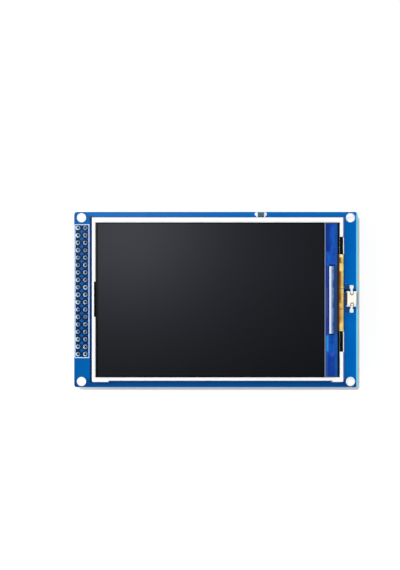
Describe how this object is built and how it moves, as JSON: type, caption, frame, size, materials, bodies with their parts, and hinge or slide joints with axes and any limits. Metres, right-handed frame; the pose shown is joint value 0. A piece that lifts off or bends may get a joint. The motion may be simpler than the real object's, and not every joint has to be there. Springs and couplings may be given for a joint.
{
  "type": "tft display module",
  "caption": "Flat colour TFT display module: blue circuit board carrying a backlit glass screen in a white frame, with a pin header, card socket and reset key.",
  "frame": {"origin": "centre of the pattern of four corner screw holes, on the circuit board's back face", "axes": "+Z the way the screen faces, away from the board; +X along the board from the pin header to the end with the folded tail and the reset key; +Y across the board to the edge with the power lamp"},
  "size_m": [0.097, 0.06, 0.0132],
  "materials": {
    "solder_mask": "glossy blue solder mask over woven laminate",
    "tin": "bright tin and solder",
    "gold": "thin gold plate",
    "black_moulding": "moulded black plastic",
    "white_moulding": "moulded white polycarbonate",
    "white_film": "white polyester film",
    "clear_acrylic": "polished clear acrylic",
    "milky_film": "milky polyester film",
    "polariser": "dark satin polarising film",
    "display_glass": "thin display glass",
    "silicon": "bare polished silicon",
    "blue_coating": "glossy blue protective coating",
    "polyimide": "amber polyimide film over copper",
    "black_foam": "fine black foam",
    "white_foam": "white double-sided foam",
    "black_tape": "black tape",
    "ivory_moulding": "ivory nylon",
    "brown_moulding": "dark brown moulding resin",
    "spring_steel": "bright spring steel",
    "steel_sheet": "satin stainless sheet",
    "lamp_resin": "clear olive resin",
    "lamp_base": "white lamp body",
    "epoxy": "black moulding epoxy",
    "tan_ceramic": "tan ceramic",
    "black_ceramic": "black glazed ceramic"
  },
  "bodies": {
    "module": {"circuit_board": "solder_mask", "hole_pads": "tin", "header_body": "black_moulding", "header_pins": "gold", "header_solder": "tin", "foam_strips": "white_foam", "reflector_sheet": "white_film", "backlight_frame": "white_moulding", "light_guide": "clear_acrylic", "diffuser_sheet": "milky_film", "lower_prism_sheet": "milky_film", "upper_prism_sheet": "milky_film", "lamp_strip": "polyimide", "backlight_lamps": "lamp_base", "rim_tape": "black_tape", "rear_polariser": "polariser", "display_glass": "display_glass", "filter_glass": "display_glass", "front_polariser": "polariser", "driver_chip": "silicon", "ledge_coating": "blue_coating", "flex_tail": "polyimide", "flex_solder": "tin", "edge_seals": "black_foam", "side_pad": "black_foam", "switch_base": "brown_moulding", "switch_cover": "white_moulding", "switch_dome": "spring_steel", "switch_terminals": "tin", "switch_solder": "tin", "power_led_base": "lamp_base", "power_led_lens": "lamp_resin", "power_led_ends": "tin", "power_led_solder": "tin", "sd_base": "black_moulding", "sd_shell": "steel_sheet", "sd_contacts": "gold", "bus_chips": "epoxy", "bus_chip_leads": "tin", "regulator_body": "epoxy", "regulator_leads": "tin", "transistor_body": "epoxy", "transistor_leads": "tin", "capacitor_bodies": "tan_ceramic", "capacitor_ends": "tin", "resistor_bodies": "black_ceramic", "resistor_ends": "tin"},
    "reset_key": {"switch_plunger": "ivory_moulding"}
  },
  "joints": [
    {"name": "reset_press", "type": "slide", "parent": "module", "child": "reset_key", "axis": [0, 0, -1], "range_m": [0, 0.00025], "stiffness_N_per_m": 6400, "deforming": ["switch_dome"]}
  ]
}
